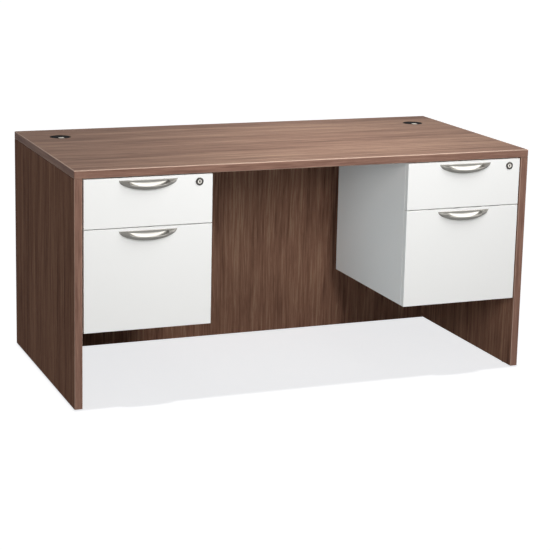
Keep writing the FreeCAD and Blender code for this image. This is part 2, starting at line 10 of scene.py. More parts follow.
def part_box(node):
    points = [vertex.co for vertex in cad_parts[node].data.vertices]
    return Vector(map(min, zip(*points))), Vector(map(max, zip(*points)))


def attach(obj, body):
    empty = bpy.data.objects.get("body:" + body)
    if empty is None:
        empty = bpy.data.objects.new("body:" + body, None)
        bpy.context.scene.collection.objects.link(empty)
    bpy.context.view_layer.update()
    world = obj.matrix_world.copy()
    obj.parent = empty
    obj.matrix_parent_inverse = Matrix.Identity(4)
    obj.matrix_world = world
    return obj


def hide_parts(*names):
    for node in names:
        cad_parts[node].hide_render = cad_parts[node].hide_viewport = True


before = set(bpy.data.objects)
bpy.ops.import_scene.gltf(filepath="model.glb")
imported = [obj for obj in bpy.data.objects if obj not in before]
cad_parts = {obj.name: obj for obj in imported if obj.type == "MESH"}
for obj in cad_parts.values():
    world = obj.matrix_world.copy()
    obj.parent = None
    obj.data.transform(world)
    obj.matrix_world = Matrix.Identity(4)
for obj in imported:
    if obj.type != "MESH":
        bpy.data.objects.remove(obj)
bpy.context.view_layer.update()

bl_info = {
    "name": "Pedestal desk",
    "version": (1, 0, 0),
    "blender": (4, 5, 0),
    "location": "3D View > Sidebar > Desk",
    "description": "Dresses the solids of a double-pedestal desk with rounded edges, pulls, locks and finishes",
    "category": "Object",
}

SIDES = ("left", "right")
DRAWERS = tuple(f"{side}_{kind}" for side in SIDES for kind in ("box", "file"))
X, Y, Z = range(3)
MM = 0.001
MM_PER_METRE = 1000
FRAME_PIXELS = 550
SENSOR_MM = 36.0
CREASE = math.radians(38)
FULL_TURN = 2 * math.pi
QUARTER_TURN = math.pi / 2
MERGE_DISTANCE = 1e-7
LEAST_DIVISOR = 1e-6


def linear(code):
    """Linear colour of an sRGB hex code, by the standard curve in each channel."""
    channels = np.array([int(code[i:i + 2], 16) for i in (1, 3, 5)]) / 255
    curve = np.where(channels <= 0.04045, channels / 12.92, ((channels + 0.055) / 1.055) ** 2.4)
    return tuple(float(value) for value in curve)


def length(name, description, default):
    """A size in metres that the sidebar shows as a distance."""
    return FloatProperty(
        name=name, description=description, default=default, min=0.0, precision=5,
        subtype="DISTANCE", unit="LENGTH",
    )


def factor(name, description, default):
    """A share or strength between minus one and one."""
    return FloatProperty(
        name=name, description=description, default=default, min=-1.0, max=1.0, subtype="FACTOR",
    )


def colour(name, description, code):
    """A colour from its sRGB hex code."""
    return FloatVectorProperty(
        name=name, description=description, default=linear(code), size=3, min=0.0, max=1.0, subtype="COLOR",
    )


class DeskSizes(bpy.types.PropertyGroup):
    """Sizes of rounded edges, pulls, locks, grommets, fasteners and glides."""

    band: length("Edge band", "Thickness of the plastic edge bands", 0.003)
    band_round: length("Band rounding", "Radius along the edges of the bands", 0.0028)
    board_round: length("Board rounding", "Radius along the edges of the white boards", 0.0007)
    pull_half_width: length("Pull half width", "Half length of a pull's ellipsoid", 0.093)
    pull_depth: length("Pull depth", "Half axis of the ellipsoid towards the front", 0.0335)
    pull_height: length("Pull height", "Half axis of the ellipsoid downwards", 0.031)
    pull_bury: length("Pull bury", "How far the ellipsoid's middle lies behind the drawer front", 0.006)
    pull_rim_drop: length("Pull rim drop", "Fall from the top edge to the middle of the lip", 0.019)
    pull_ledge_drop: length("Pull ledge drop", "Fall from the top edge to the lip at the solid ends", 0.0085)
    pull_bulge: length("Pull bulge", "Rise of the solid ends above the line from lip to bar", 0.0015)
    pull_bar: length("Pull bar", "Height of the straight bar along the top edge", 0.0066)
    pull_swell: length("Pull swell", "How far the lip's outside swells past the ellipsoid", 0.0024)
    pull_wall: length("Pull wall", "Thickness of the lip", 0.0025)
    pull_plate: length("Pull plate", "Thickness of the plate on the drawer front", 0.002)
    hollow_half_width: length("Hollow half width", "Half length of the hollow in a pull", 0.063)
    hollow_depth: length("Hollow depth", "Depth of the hollow below the line from lip to bar", 0.011)
    bezel_round: length("Bezel rounding", "Radius on the outer edge of a lock's bezel", 0.0016)
    plug_radius: length("Lock bore", "Radius of the bore that a lock's plug turns in", 0.0067)
    barrel_radius: length("Lock barrel", "Radius of a lock's barrel behind its bezel", 0.008)
    bezel_lap: length("Bezel lap", "How far a lock's rounded bezel laps its bore's trim", 0.0012)
    bezel_depth: length("Bezel depth", "How far a lock's bezel stands out", 0.003)
    flange_thickness: length("Grommet flange", "Thickness of a grommet's flange", 0.0018)
    sleeve_radius: length("Grommet sleeve", "Radius of a grommet's sleeve", 0.0298)
    sleeve_bore: length("Grommet bore", "Radius of the bore that a grommet's cap lies in", 0.0278)
    sleeve_throat: length("Grommet throat", "Radius of the throat under a grommet's cap", 0.0258)
    cable_slot_width: length("Cable slot width", "Width of the slot in a grommet's cap", 0.018)
    cable_slot_depth: length("Cable slot depth", "Depth of the slot from the bore's edge", 0.024)
    keyway_width: length("Keyway width", "Width of the keyway in a lock's plug", 0.0044)
    keyway_height: length("Keyway height", "Height of the keyway in a lock's plug", 0.007)
    cam_thickness: length("Cam thickness", "Thickness of a lock's cam", 0.003)
    drum_radius: length("Cam drum radius", "Radius of a cam drum in the boards", 0.0075)
    drum_length: length("Cam drum length", "Length of a cam drum", 0.014)
    drum_setback: length("Cam drum setback", "Distance of a drum's middle from the joint", 0.034)
    drum_inset: length("Cam drum inset", "Distance of the outer drums from a panel's ends", 0.085)
    bolt_radius: length("Cam bolt radius", "Radius of a cam bolt", 0.003)
    bolt_bite: length("Cam bolt bite", "Length of a cam bolt past the joint", 0.011)
    bolt_hold: length("Cam bolt hold", "Length of a cam bolt past its drum's middle", 0.004)
    screw_radius: length("Pull screw radius", "Radius of a pull's screws", 0.002)
    screw_head: length("Pull screw head", "Height of the head of a pull's screws", 0.0026)
    glide_radius: length("Glide radius", "Radius of a floor glide", 0.011)
    glide_height: length("Glide height", "Height of a floor glide", 0.004)
    nail_radius: length("Glide nail", "Radius of a floor glide's nail", 0.0015)


class DeskColours(bpy.types.PropertyGroup):
    """Colours of the finishes."""

    walnut_dark: colour("Walnut, dark streaks", "Late wood in the printed grain", "#644A3F")
    walnut_mid: colour("Walnut, ground", "Ground tone of the printed grain", "#896B5B")
    walnut_light: colour("Walnut, light streaks", "Early wood in the printed grain", "#A38571")
    band_dark: colour("Band, dark streaks", "Dark grain on the edge bands", "#74554A")
    band_light: colour("Band, light streaks", "Light grain on the edge bands", "#9C7A6A")
    # Pale colour of the bands' rounded edges: partly the scraped plastic's own paleness, partly a painted
    # highlight.
    band_scrape_and_highlight: colour("Band, scraped edges", "Pale line where a band's edge is scraped round", "#D2B5A4")
    # Painted shade: the upright boards take the print a shade darker and warmer than the worktop.
    upright_shade_tint: colour("Panel cast", "Warm cast of the print on the upright boards", "#FFF2EB")
    white: colour("White laminate", "Drawer fronts, cases and boxes", "#F6F6F4")
    nickel: colour("Satin nickel", "Pulls", "#82807B")
    bezel_nickel: colour("Dark nickel", "Lock bezels", "#4E4C49")
    plug_nickel: colour("Bright nickel", "Lock plugs", "#C4C1BB")
    zinc: colour("Zinc plate", "Runners, screws and cam fasteners", "#B4B8BC")
    black: colour("Black plastic", "Cable grommets", "#141313")
    nylon: colour("Glide nylon", "Floor glides", "#CFC9BC")


class DeskStage(bpy.types.PropertyGroup):
    """Camera, floor and light."""

    camera_place: FloatVectorProperty(
        name="Camera place", description="Where the camera stands", default=(-2.0126, -5.0347, 1.6222),
        size=3, subtype="TRANSLATION", unit="LENGTH",
    )
    camera_turn: FloatVectorProperty(
        name="Camera turn", description="Yaw to the right, pitch down and roll of the camera",
        default=(math.radians(22.038), math.radians(11.996), math.radians(1.309)), size=3, subtype="EULER",
        unit="ROTATION",
    )
    focal_pixels: FloatProperty(
        name="Focal length", description="Focal length in pixels of the square picture", default=1665.8,
        subtype="PIXEL",
    )
    camera_shift: factor("Camera shift", "Shift of the lens upwards, as a share of the frame", -0.1)
    floor_size: length("Floor size", "Side of the square floor", 40.0)
    floor_glow: factor("Floor glow", "Brightening of the floor for the eye and in reflections", 0.783)
    surround_light: factor("Surrounding light", "Strength of the surroundings on all else", 0.14)


def grid_faces(rows, columns, wrap_rows=False, wrap_columns=False):
    """Quads between neighbouring points of a grid that is stored row by row."""
    row = np.arange(rows if wrap_rows else rows - 1)
    column = np.arange(columns if wrap_columns else columns - 1)
    row, column = np.meshgrid(row, column, indexing="ij")
    row_2, column_2 = (row + 1) % rows, (column + 1) % columns
    start, end = row * columns, row_2 * columns
    corners = [start + column, end + column, end + column_2, start + column_2]
    return np.stack(corners, axis=-1).reshape(-1, 4)


def shell(points, faces, normals=None, uv=None):
    """One closed surface, with its faces turned outwards.

    The volume under the faces is the sum of each triangle's corner product over six. Where it is negative,
    every face is turned round.
    """
    points = np.asarray(points, float).reshape(-1, 3)
    a, b, c, d = (points[faces[:, i]] for i in range(4))
    volume = np.einsum("ij,ij->", a, np.cross(b, c)) + np.einsum("ij,ij->", a, np.cross(c, d))
    if volume < 0:
        faces = faces[:, ::-1]
    return {
        "points": points,
        "faces": faces,
        "normals": None if normals is None else np.asarray(normals, float).reshape(-1, 3),
        "uv": np.zeros((len(points), 2)) if uv is None else np.asarray(uv, float).reshape(-1, 2),
    }


def add_piece(name, shells, material, body, nodes):
    """Make one mesh object of several shells in a finish, which rides on a body and stands for CAD nodes.

    Points that lie on each other are merged. A quad that loses one corner becomes a triangle, and one that
    loses more is dropped.
    """
    starts = np.cumsum([0] + [len(s["points"]) for s in shells[:-1]])
    points = np.concatenate([s["points"] for s in shells])
    source = np.concatenate([s["faces"] + start for s, start in zip(shells, starts)])
    shell_index = np.repeat(np.arange(len(shells)), [len(s["points"]) for s in shells])
    keys = np.column_stack([np.round(points / MERGE_DISTANCE), shell_index])
    _, first, merged = np.unique(keys, axis=0, return_index=True, return_inverse=True)
    faces = merged.reshape(-1)[source]
    doubled = faces == np.roll(faces, -1, axis=1)
    lost = doubled.sum(axis=1)
    keep = ~doubled[lost == 1]
    quads, triangles = faces[lost == 0], faces[lost == 1][keep].reshape(-1, 3)
    corners = np.concatenate([source[lost == 0].reshape(-1), source[lost == 1][keep]])
    mesh = bpy.data.meshes.new(name)
    mesh.from_pydata(points[first].tolist(), [], quads.tolist() + triangles.tolist())
    layer = mesh.uv_layers.new(name="along")
    layer.data.foreach_set("uv", np.concatenate([s["uv"] for s in shells])[corners].reshape(-1))
    mesh.shade_smooth()
    if all(s["normals"] is not None for s in shells):
        normals = np.concatenate([s["normals"] for s in shells])
        mesh.normals_split_custom_set(normals[corners].tolist())
    else:
        mesh.set_sharp_from_angle(angle=CREASE)
    mesh.validate()
    mesh.materials.append(finish(material))
    made = bpy.data.objects.new(name, mesh)
    bpy.context.scene.collection.objects.link(made)
    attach(made, body)
    if nodes:
        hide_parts(*nodes)


def placed(axis, along, first, second):
    """Points from their coordinate on one axis and on the two axes after it."""
    points = np.empty(np.broadcast_shapes(np.shape(along), np.shape(first), np.shape(second)) + (3,))
    for step, values in enumerate((along, first, second)):
        points[..., (axis + step) % 3] = values
    return points


def lifted(plan, heights):
    """Points from their places in plan and their heights."""
    return np.concatenate([plan, np.broadcast_to(heights, plan.shape[:-1])[..., None]], axis=-1)


def lengths_along(line):
    """Distance along a line of points, from its start to each of them."""
    return np.concatenate([[0], np.cumsum(np.linalg.norm(np.diff(line, axis=0), axis=1))])


def rounded_box(low, high, radius, steps=4):
    """A board with rounded edges and corners.

    Each point of a grid on the box's six faces is drawn to the nearest point of the box that is smaller by
    the radius all round, and pushed out from there by the radius. Grid lines are spaced by equal angles.
    """
    low, high = np.array(low, float), np.array(high, float)
    out = radius * np.tan(np.linspace(QUARTER_TURN / 2, 0, steps + 1))
    lines = [np.concatenate([a + radius - out, b - radius + out[::-1]]) for a, b in zip(low, high)]
    count = 2 * (steps + 1)
    points, faces = [], []
    for axis in (X, Y, Z):
        for level in (low[axis], high[axis]):
            u, v = np.meshgrid(lines[(axis + 1) % 3], lines[(axis + 2) % 3], indexing="ij")
            quads = grid_faces(count, count)
            if level == low[axis]:
                quads = quads[:, ::-1]
            faces.append(quads + len(points) * count * count)
            points.append(placed(axis, level, u, v).reshape(-1, 3))
    points, faces = np.concatenate(points), np.concatenate(faces)
    inner = np.clip(points, low + radius, high - radius)
    away = points - inner
    normals = away / np.linalg.norm(away, axis=1, keepdims=True)
    return shell(inner + radius * normals, faces, normals)


def band_profile(depth, bottom, top, radius, steps=5):
    """Half-section of a band: out along the top, round the edge, down, round the edge and back in.

    Gives distance out, height, and the outward and upward parts of the normal at each point.
    """
    turn = np.linspace(QUARTER_TURN, 0, steps + 1)
    turn = np.concatenate([turn, -turn[::-1]])
    core = np.repeat([top - radius, bottom + radius], steps + 1)
    out = np.concatenate([[0], depth - radius + radius * np.cos(turn), [0]])
    up = np.concatenate([[top], core + radius * np.sin(turn), [bottom]])
    normal_out = np.concatenate([[0], np.cos(turn), [0]])
    normal_up = np.concatenate([[1], np.sin(turn), [-1]])
    return out, up, normal_out, normal_up


def band_ring(low, high, depth, radius, steps=5):
    """A band round a board's four edges: its section carried round the board's outline.

    At each corner the section turns a quarter circle about the board's corner, so that a point at distance d
    out from the board runs on an arc of radius d.
    """
    out, up, normal_out, normal_up = band_profile(depth, low[2], high[2], radius)
    corners = np.array([[low[0], low[1]], [high[0], low[1]], [high[0], high[1]], [low[0], high[1]]])
    starts = QUARTER_TURN * np.array([2, 3, 0, 1])
    angle = (starts[:, None] + np.linspace(0, QUARTER_TURN, steps + 1)[None, :]).reshape(-1)
    base = np.repeat(corners, steps + 1, axis=0)
    angle, base = np.append(angle, angle[0]), np.vstack([base, base[:1]])
    way = np.column_stack([np.cos(angle), np.sin(angle)])
    points = lifted(base[:, None] + out[:, None] * way[:, None], up)
    normals = lifted(normal_out[:, None] * way[:, None], normal_up)
    run, across = lengths_along(base + depth * way), lengths_along(np.column_stack([out, up]))
    uv = np.stack(np.meshgrid(run, across, indexing="ij"), axis=-1)
    faces = grid_faces(len(base), len(out), wrap_columns=True)
    return shell(points, faces, normals, uv)


def upright_band(low, high, face_sign, radius):
    """A band on an upright edge: its section across the panel's thickness carried up the panel.

    The section starts on the panel, goes round both outer edges and comes back. Its two ends are closed
    by fans from the section's middle.
    """
    width, depth = high[0] - low[0], high[1] - low[1]
    out, across, normal_out, normal_across = band_profile(depth, 0, width, radius)
    root = high[1] if face_sign < 0 else low[1]
    section = np.column_stack([low[0] + across, root + face_sign * out])
    middle = np.broadcast_to(section.mean(axis=0), section.shape)
    heights = np.repeat([low[2], high[2]], 3)
    points = lifted(np.stack([middle, section, section, section, section, middle]), heights[:, None])
    side = lifted(np.column_stack([normal_across, face_sign * normal_out]), 0)
    up = np.broadcast_to([0.0, 0.0, 1.0], side.shape)
    normals = np.stack([-up, -up, side, side, up, up])
    uv = np.stack(np.meshgrid(heights, lengths_along(section), indexing="ij"), axis=-1)
    return shell(points, grid_faces(len(heights), len(section), wrap_columns=True), normals, uv)


def turned(profile, centre, axis, segments=64):
    """A turned piece: a closed or pole-to-pole profile of radius and height carried round an axis."""
    angle = np.linspace(0, FULL_TURN, segments, endpoint=False)
    out, heights = profile[:, :1], profile[:, 1:]
    points = placed(axis, heights, out * np.cos(angle), out * np.sin(angle)) + np.asarray(centre)
    closed = profile[0, 0] > 0
    return shell(points, grid_faces(len(profile), segments, closed, True))


def round_corner(corner, before, after, radius, steps=4):
    """Points of a quarter circle that rounds a square corner of a profile, from one leg to the other.

    The circle's middle lies the radius along both legs, and the arc swings from the first leg to the second.
    """
    corner, before, after = (np.array(p, float) for p in (corner, before, after))
    leg_in = (before - corner) / np.linalg.norm(before - corner)
    leg_out = (after - corner) / np.linalg.norm(after - corner)
    swing = np.linspace(0, QUARTER_TURN, steps + 1)[:, None]
    return corner + radius * (leg_in + leg_out) - radius * (leg_out * np.cos(swing) + leg_in * np.sin(swing))


def slotted_disc(radius, depth, centre, axis, sign, slots, recess, segments=72):
    """A drum, plug or screw head with slots in its face, which looks along the axis by the sign.

    Height over the face is a polar grid. It drops by the recess where a point lies inside a slot, given by its
    half length, half width and turn, with a narrow ramp at its edges. The rim is broken, and wall and back
    close it.
    """
    ramp, edge = 0.03 * radius, 0.07 * radius
    reach = max(half_length for half_length, _, _ in slots)
    slot_rings = np.linspace(0, reach + ramp, 26)
    rim_rings = np.linspace(reach + 2 * ramp, radius - edge, 3)
    rings = np.concatenate([slot_rings, rim_rings, [radius]])
    angle = np.linspace(0, FULL_TURN, segments, endpoint=False)
    u, v = rings[:, None] * np.cos(angle), rings[:, None] * np.sin(angle)
    sink = np.zeros_like(u)
    for half_length, half_width, turn in slots:
        along = np.abs(u * math.cos(turn) + v * math.sin(turn))
        across = np.abs(v * math.cos(turn) - u * math.sin(turn))
        inside = np.clip((half_length - along) / ramp, 0, 1) * np.clip((half_width - across) / ramp, 0, 1)
        sink = np.maximum(sink, recess * inside)
    sink[-1] = edge
    rows_u, rows_v = np.concatenate([u, u[-1:], u[:1]]), np.concatenate([v, v[-1:], v[:1]])
    rows_h = np.concatenate([-sink, np.full((2, segments), -depth)])
    points = placed(axis, sign * rows_h, rows_u, rows_v) + np.asarray(centre)
    return shell(points, grid_faces(len(rows_u), segments, False, True))


def cross_slots(radius, reach, width, turn):
    """Two slots at right angles: half length and half width as shares of the head's radius, and a turn."""
    return [(reach * radius, width * radius, angle) for angle in (turn, turn + QUARTER_TURN)]


def threaded_rod(radius, start, end, centre, axis, pitch=0.0016, segments=20):
    """A bolt's shank: its radius swings between crest and root with each turn, and halves at its tip."""
    crests = np.linspace(start, end, 2 * max(int(abs(end - start) / pitch), 3))
    root = 0.84 * radius
    radii = np.where(np.arange(len(crests)) % 2 == 0, radius, root)
    radii[-1] /= 2
    profile = np.vstack([[[0, start]], np.column_stack([radii, crests]), [[0, end]]])
    return turned(profile, centre, axis, segments)


def slotted_cap(radius, base, top, centre, slot_half, slot_end, rounding, steps=121):
    """A cap with a cable slot: the space between the slot's three sides and the round rim.

    Both lines run from the slot's left mouth to its right mouth. At each step along them a section with
    rounded upper edges and a shallow dish is stretched from the slot's line to the rim's line.
    """
    mouth = -math.sqrt(radius ** 2 - slot_half ** 2)
    corners = np.array([[-slot_half, mouth], [-slot_half, slot_end], [slot_half, slot_end], [slot_half, mouth]])
    legs = lengths_along(corners)
    share = np.unique(np.concatenate([np.linspace(0, 1, steps), legs / legs[-1]]))
    inner = np.stack([np.interp(share * legs[-1], legs, corners[:, i]) for i in range(2)], axis=-1)
    gap = math.asin(slot_half / radius)
    angle = -QUARTER_TURN - gap - share * (FULL_TURN - 2 * gap)
    outer = radius * np.stack([np.cos(angle), np.sin(angle)], axis=-1)
    span = np.linalg.norm(outer - inner, axis=1)[:, None]
    bend = np.minimum(rounding, 0.4 * span)
    dish = np.minimum(0.5 * MM, 0.03 * span)
    turn = np.linspace(0, QUARTER_TURN, 5)[None, :]
    flat = np.linspace(0, 1, 9)[None, 1:-1]
    fall, run = bend * (1 - np.sin(turn)), bend * (1 - np.cos(turn))
    reach = np.concatenate([run, bend + (span - 2 * bend) * flat, span - fall, span, 0 * span], axis=1)
    depth = np.full_like(span, top - base)
    drop = np.concatenate([fall, dish * np.sin(math.pi * flat), run, depth, depth], axis=1)
    way = (outer - inner) / np.maximum(span, LEAST_DIVISOR)
    points = lifted(inner[:, None] + reach[..., None] * way[:, None], top - drop) + np.asarray(centre)
    return shell(points, grid_faces(len(share), reach.shape[1], False, True))


# Shares that shape a pull: how the lip climbs, how far it may fall down the bowl, what the bar may take of that
# fall, how much of the bar is rounded, how early lip and plate thin out, and the heights of the bar's rows.
LIP_CLIMB, LIP_LIMIT, BAR_LIMIT, BAR_ROUND = 0.22, 0.85, 0.48, 0.2
LIP_THINNING, PLATE_THINNING = 2.0, 2.5
BAR_ROWS = np.array([[0.95, 0.9, 0.6, 0.3]])


def scoop(middle, face, top, sizes, stations=161):
    """A half-moon pull: one closed section in each plane across its length.

    The section follows a swollen ellipse from the drawer front out to the lip, rounds the lip, falls behind
    it as a sine wave, rises in a quarter ellipse and ends in an upright bar up to the straight top edge. The
    outer ellipse shrinks towards the ends as an ellipsoid's does. The lip climbs where the hollow runs out, as
    a power of one less the square of the distance along the hollow, up to a ledge over the solid ends that
    hold the screws.
    """
    a, b, c, bury = sizes.pull_half_width, sizes.pull_depth, sizes.pull_height, sizes.pull_bury
    end = a * math.sqrt(1 - (bury / b) ** 2)
    x = end * np.sin(np.linspace(-QUARTER_TURN, QUARTER_TURN, stations))[:, None]
    shrink = np.sqrt(1 - (x / a) ** 2)
    b_now, c_now = b * shrink, c * shrink
    foot = np.arccos(np.clip(bury / b_now, -1, 1))
    opened = np.clip(1 - (x / sizes.hollow_half_width) ** 2, 0, 1)
    fall = np.maximum(sizes.pull_rim_drop * opened ** LIP_CLIMB, sizes.pull_ledge_drop)
    fall = np.minimum(fall, LIP_LIMIT * c_now * np.sin(foot))
    rim = np.arcsin(fall / c_now)
    way = np.linspace(0, 1, 25)[None, :]
    swing = foot + (rim - foot) * way
    swell = sizes.pull_swell * shrink ** 2 * np.sin(math.pi * way)
    bowl_reach = np.maximum(b_now * np.cos(swing) - bury, 0) + swell * np.cos(swing)
    bowl_drop = -c_now * np.sin(swing) - swell * np.sin(swing)
    rim_reach, rim_drop = bowl_reach[:, -1:], bowl_drop[:, -1:]
    wall = sizes.pull_wall * rim_reach / (rim_reach + LIP_THINNING * sizes.pull_wall)
    plate = sizes.pull_plate * rim_reach / (rim_reach + PLATE_THINNING * sizes.pull_plate)
    bar = np.minimum(sizes.pull_bar, BAR_LIMIT * fall)
    slope = (fall - bar) / np.maximum(rim_reach - plate, LEAST_DIVISOR)
    turn = np.linspace(0, math.pi, 9)[None, 1:-1]
    half_reach, half_drop = wall / 2, -slope * wall / 2
    lip_reach = rim_reach - half_reach + half_reach * np.cos(turn) - half_drop * np.sin(turn)
    lip_drop = rim_drop - half_drop + half_drop * np.cos(turn) + half_reach * np.sin(turn)
    inner_reach, inner_drop = rim_reach - wall, rim_drop + slope * wall
    dip = np.linspace(0, math.pi, 33)[None, :]
    share = np.where(dip < QUARTER_TURN, dip / math.pi, (1 - np.cos(dip)) / 2)
    sink = sizes.hollow_depth * opened - sizes.pull_bulge * (1 - opened)
    hollow_reach = inner_reach + (plate - inner_reach) * share
    hollow_drop = inner_drop + (-bar - inner_drop) * share - sink * np.sin(dip)
    edge = np.linspace(0, QUARTER_TURN, 5)[None, :]
    edge_reach, edge_drop = plate * np.cos(edge), BAR_ROUND * bar * (np.sin(edge) - 1)
    reach = np.concatenate([bowl_reach, lip_reach, hollow_reach, plate + 0 * BAR_ROWS, edge_reach], axis=1)
    drop = np.concatenate([bowl_drop, lip_drop, hollow_drop, -bar * BAR_ROWS, edge_drop], axis=1)
    points = np.stack([middle + x + 0 * reach, face - reach, top + drop], axis=-1)
    return shell(points, grid_faces(stations, reach.shape[1], False, True))


def add(tree, kind, settings=None, links=None, out=0, **attributes):
    """Add a node, with attributes of its own, values on its inputs and links from other nodes' outputs.

    Gives one of its outputs, the first if none is named.
    """
    made = tree.nodes.new(f"ShaderNode{kind}")
    for name, value in attributes.items():
        setattr(made, name, value)
    for socket, value in (settings or {}).items():
        made.inputs[socket].default_value = value
    for socket, source in (links or {}).items():
        tree.links.new(source, made.inputs[socket])
    return made.outputs[out] if made.outputs else None


def empty_tree(owner):
    """The node tree of a material or world, with nothing in it."""
    owner.use_nodes = True
    owner.node_tree.nodes.clear()
    return owner.node_tree


def new_material(name):
    """A node material with its output, and a shader that is joined to it."""
    material = bpy.data.materials.new(name)
    tree = empty_tree(material)
    shader = add(tree, "BsdfPrincipled")
    add(tree, "OutputMaterial", links={"Surface": shader})
    return material, tree, shader.node


def rgba(value):
    """A colour property with full opacity."""
    return (*value, 1.0)


def set_surface(tree, shader, tone, gloss, bump, shine, metallic=0.0):
    """Join colour, roughness and bump to a shader, and set its shine and metal."""
    for socket, source in (("Base Color", tone), ("Roughness", gloss), ("Normal", bump)):
        tree.links.new(source, shader.inputs[socket])
    shader.inputs["Specular IOR Level"].default_value = shine
    shader.inputs["Metallic"].default_value = metallic


# Length and width in millimetres, noise detail and share of each layer of the printed grain.
BOARD_GRAIN = {"band": (1100, 55, 2.0, 0.26), "streak": (300, 9, 4.0, 0.42), "fibre": (110, 2.6, 3.0, 0.32)}
EDGE_GRAIN = {"band": (340, 16, 2.0, 0.40), "streak": (130, 5, 4.0, 0.38), "fibre": (40, 1.6, 3.0, 0.22)}
# Short pores, which have no share in the sum. They are really finer, and are drawn so as to show.
PORES = {"pore": (28, 0.9, 1.0, 0.0)}
# Length and width in millimetres of the slow noise that sways the grain, and the sway's whole width in metres.
DRIFT_CELL, SWAY = (420, 160), 0.022
# Most of a noise's values lie between these.
NOISE_SPAN = {"From Min": 0.3, "From Max": 0.7}


def walnut(name, coordinates, along, colours, grain, gloss, scrape_and_highlight=None):
    """Walnut-print melamine: layers of noise drawn out along one axis, whose weighted sum picks the tone.

    A slow noise pushes the layers sideways by up to some 11 mm, so that the lines wander as in sawn boards.
    Dark pores lie over them. On a band the rounded edges are pale, partly as the scraped plastic's own colour
    and partly as a painted highlight, and paler still where they face up, which is painted highlight: the last
    argument gives their colour, half the way across the band's outside, and how far in from its sides they end.
    """
    dark, mid, light = colours
    material, tree, shader = new_material(name)
    place = add(tree, "TexCoord", out=coordinates)

    def scale_of(run, width):
        return tuple(MM_PER_METRE / (run if axis == along else width) for axis in (X, Y, Z))

    slow = add(tree, "Mapping", {"Scale": scale_of(*DRIFT_CELL)}, {"Vector": place})
    drift = add(tree, "TexNoise", {"Scale": 1.0, "Detail": 2.0}, {"Vector": slow}, out="Color")
    centred = add(tree, "VectorMath", {1: (0.5, 0.5, 0.5)}, {0: drift}, operation="SUBTRACT")
    sway = tuple(0.0 if axis == along else SWAY for axis in (X, Y, Z))
    wander = add(tree, "VectorMath", {1: sway}, {0: centred, 2: place}, operation="MULTIPLY_ADD")
    layers, total = {}, None
    for layer, (run, width, detail, share) in {**grain, **PORES}.items():
        mapped = add(tree, "Mapping", {"Scale": scale_of(run, width)}, {"Vector": wander})
        settings = {"Scale": 1.0, "Detail": detail, "Roughness": 0.6}
        layers[layer] = add(tree, "TexNoise", settings, {"Vector": mapped})
        links = {0: layers[layer]} if total is None else {0: layers[layer], 2: total}
        total = add(tree, "Math", {1: share, 2: 0.0}, links, operation="MULTIPLY_ADD")
    tone = None
    for source, start, end, most, curve, over in (
        (total, 0.38, 0.50, 1.0, "SMOOTHSTEP", mid),
        (total, 0.50, 0.60, 1.0, "SMOOTHSTEP", light),
        (layers["pore"], 0.37, 0.30, 0.5, "LINEAR", dark),
    ):
        settings = {"From Min": start, "From Max": end, "To Max": most}
        part = add(tree, "MapRange", settings, {"Value": source}, interpolation_type=curve)
        links = {0: part} if tone is None else {0: part, 6: tone}
        tone = add(tree, "Mix", {6: rgba(dark), 7: rgba(over)}, links, out=2, data_type="RGBA")
    # Pale rounded edges of a band: partly the scraped plastic's own colour, partly a painted highlight; the
    # share that grows where the edge faces up is painted highlight alone.
    if scrape_and_highlight:
        pale, half_way, rounding = scrape_and_highlight
        across = add(tree, "SeparateXYZ", links={0: place}, out=1)
        inward = add(tree, "Math", {1: half_way}, {0: across}, operation="PINGPONG")
        settings = {"From Min": rounding, "From Max": 0.7 * rounding, "To Max": 0.9}
        rounding_share = add(tree, "MapRange", settings, {"Value": inward})
        facing = add(tree, "NewGeometry", out="Normal")
        rise = add(tree, "SeparateXYZ", links={0: facing}, out=2)
        # Painted highlight: the pale edge is strongest where its normal faces up.
        upward_highlight = add(tree, "MapRange", {"From Max": 0.3, "To Min": 0.35}, {"Value": rise})
        pale_share = add(tree, "Math", links={0: rounding_share, 1: upward_highlight}, operation="MULTIPLY")
        tone = add(tree, "Mix", {7: rgba(pale)}, {0: pale_share, 6: tone}, out=2, data_type="RGBA")
    smooth, rough, shine = gloss
    fibre = layers["fibre"]
    sheen = add(tree, "MapRange", {**NOISE_SPAN, "To Min": smooth, "To Max": rough}, {"Value": fibre})
    emboss = add(tree, "Bump", {"Strength": 0.25, "Distance": 0.15 * MM}, {"Height": fibre})
    set_surface(tree, shader, tone, sheen, emboss, shine)
    return material


def speckled(name, base, spread, cell_mm, roughness, bump_mm, metallic=0.0, stretch=(1, 1, 1), shine=0.5):
    """A finish with a fine mottle: colour and gloss vary with one noise, whose grain stands up as a bump.

    The noise cell is given in millimetres, and may be drawn out along an axis, as brushing does.
    """
    material, tree, shader = new_material(name)
    place = add(tree, "TexCoord", out="Object")
    scale = tuple(MM_PER_METRE / cell_mm / way for way in stretch)
    mapped = add(tree, "Mapping", {"Scale": scale}, {"Vector": place})
    settings = {"Scale": 1.0, "Detail": 4.0, "Roughness": 0.6}
    noise = add(tree, "TexNoise", settings, {"Vector": mapped})
    shade, gloss = (
        add(tree, "MapRange", {**NOISE_SPAN, "To Min": least, "To Max": most}, {"Value": noise})
        for least, most in ((1 - spread, 1.0), roughness)
    )
    tone = add(tree, "VectorMath", {0: tuple(base)}, {"Scale": shade}, operation="SCALE")
    bump = add(tree, "Bump", {"Strength": 0.3, "Distance": bump_mm * MM}, {"Height": noise})
    set_surface(tree, shader, tone, gloss, bump, shine, metallic)
    return material


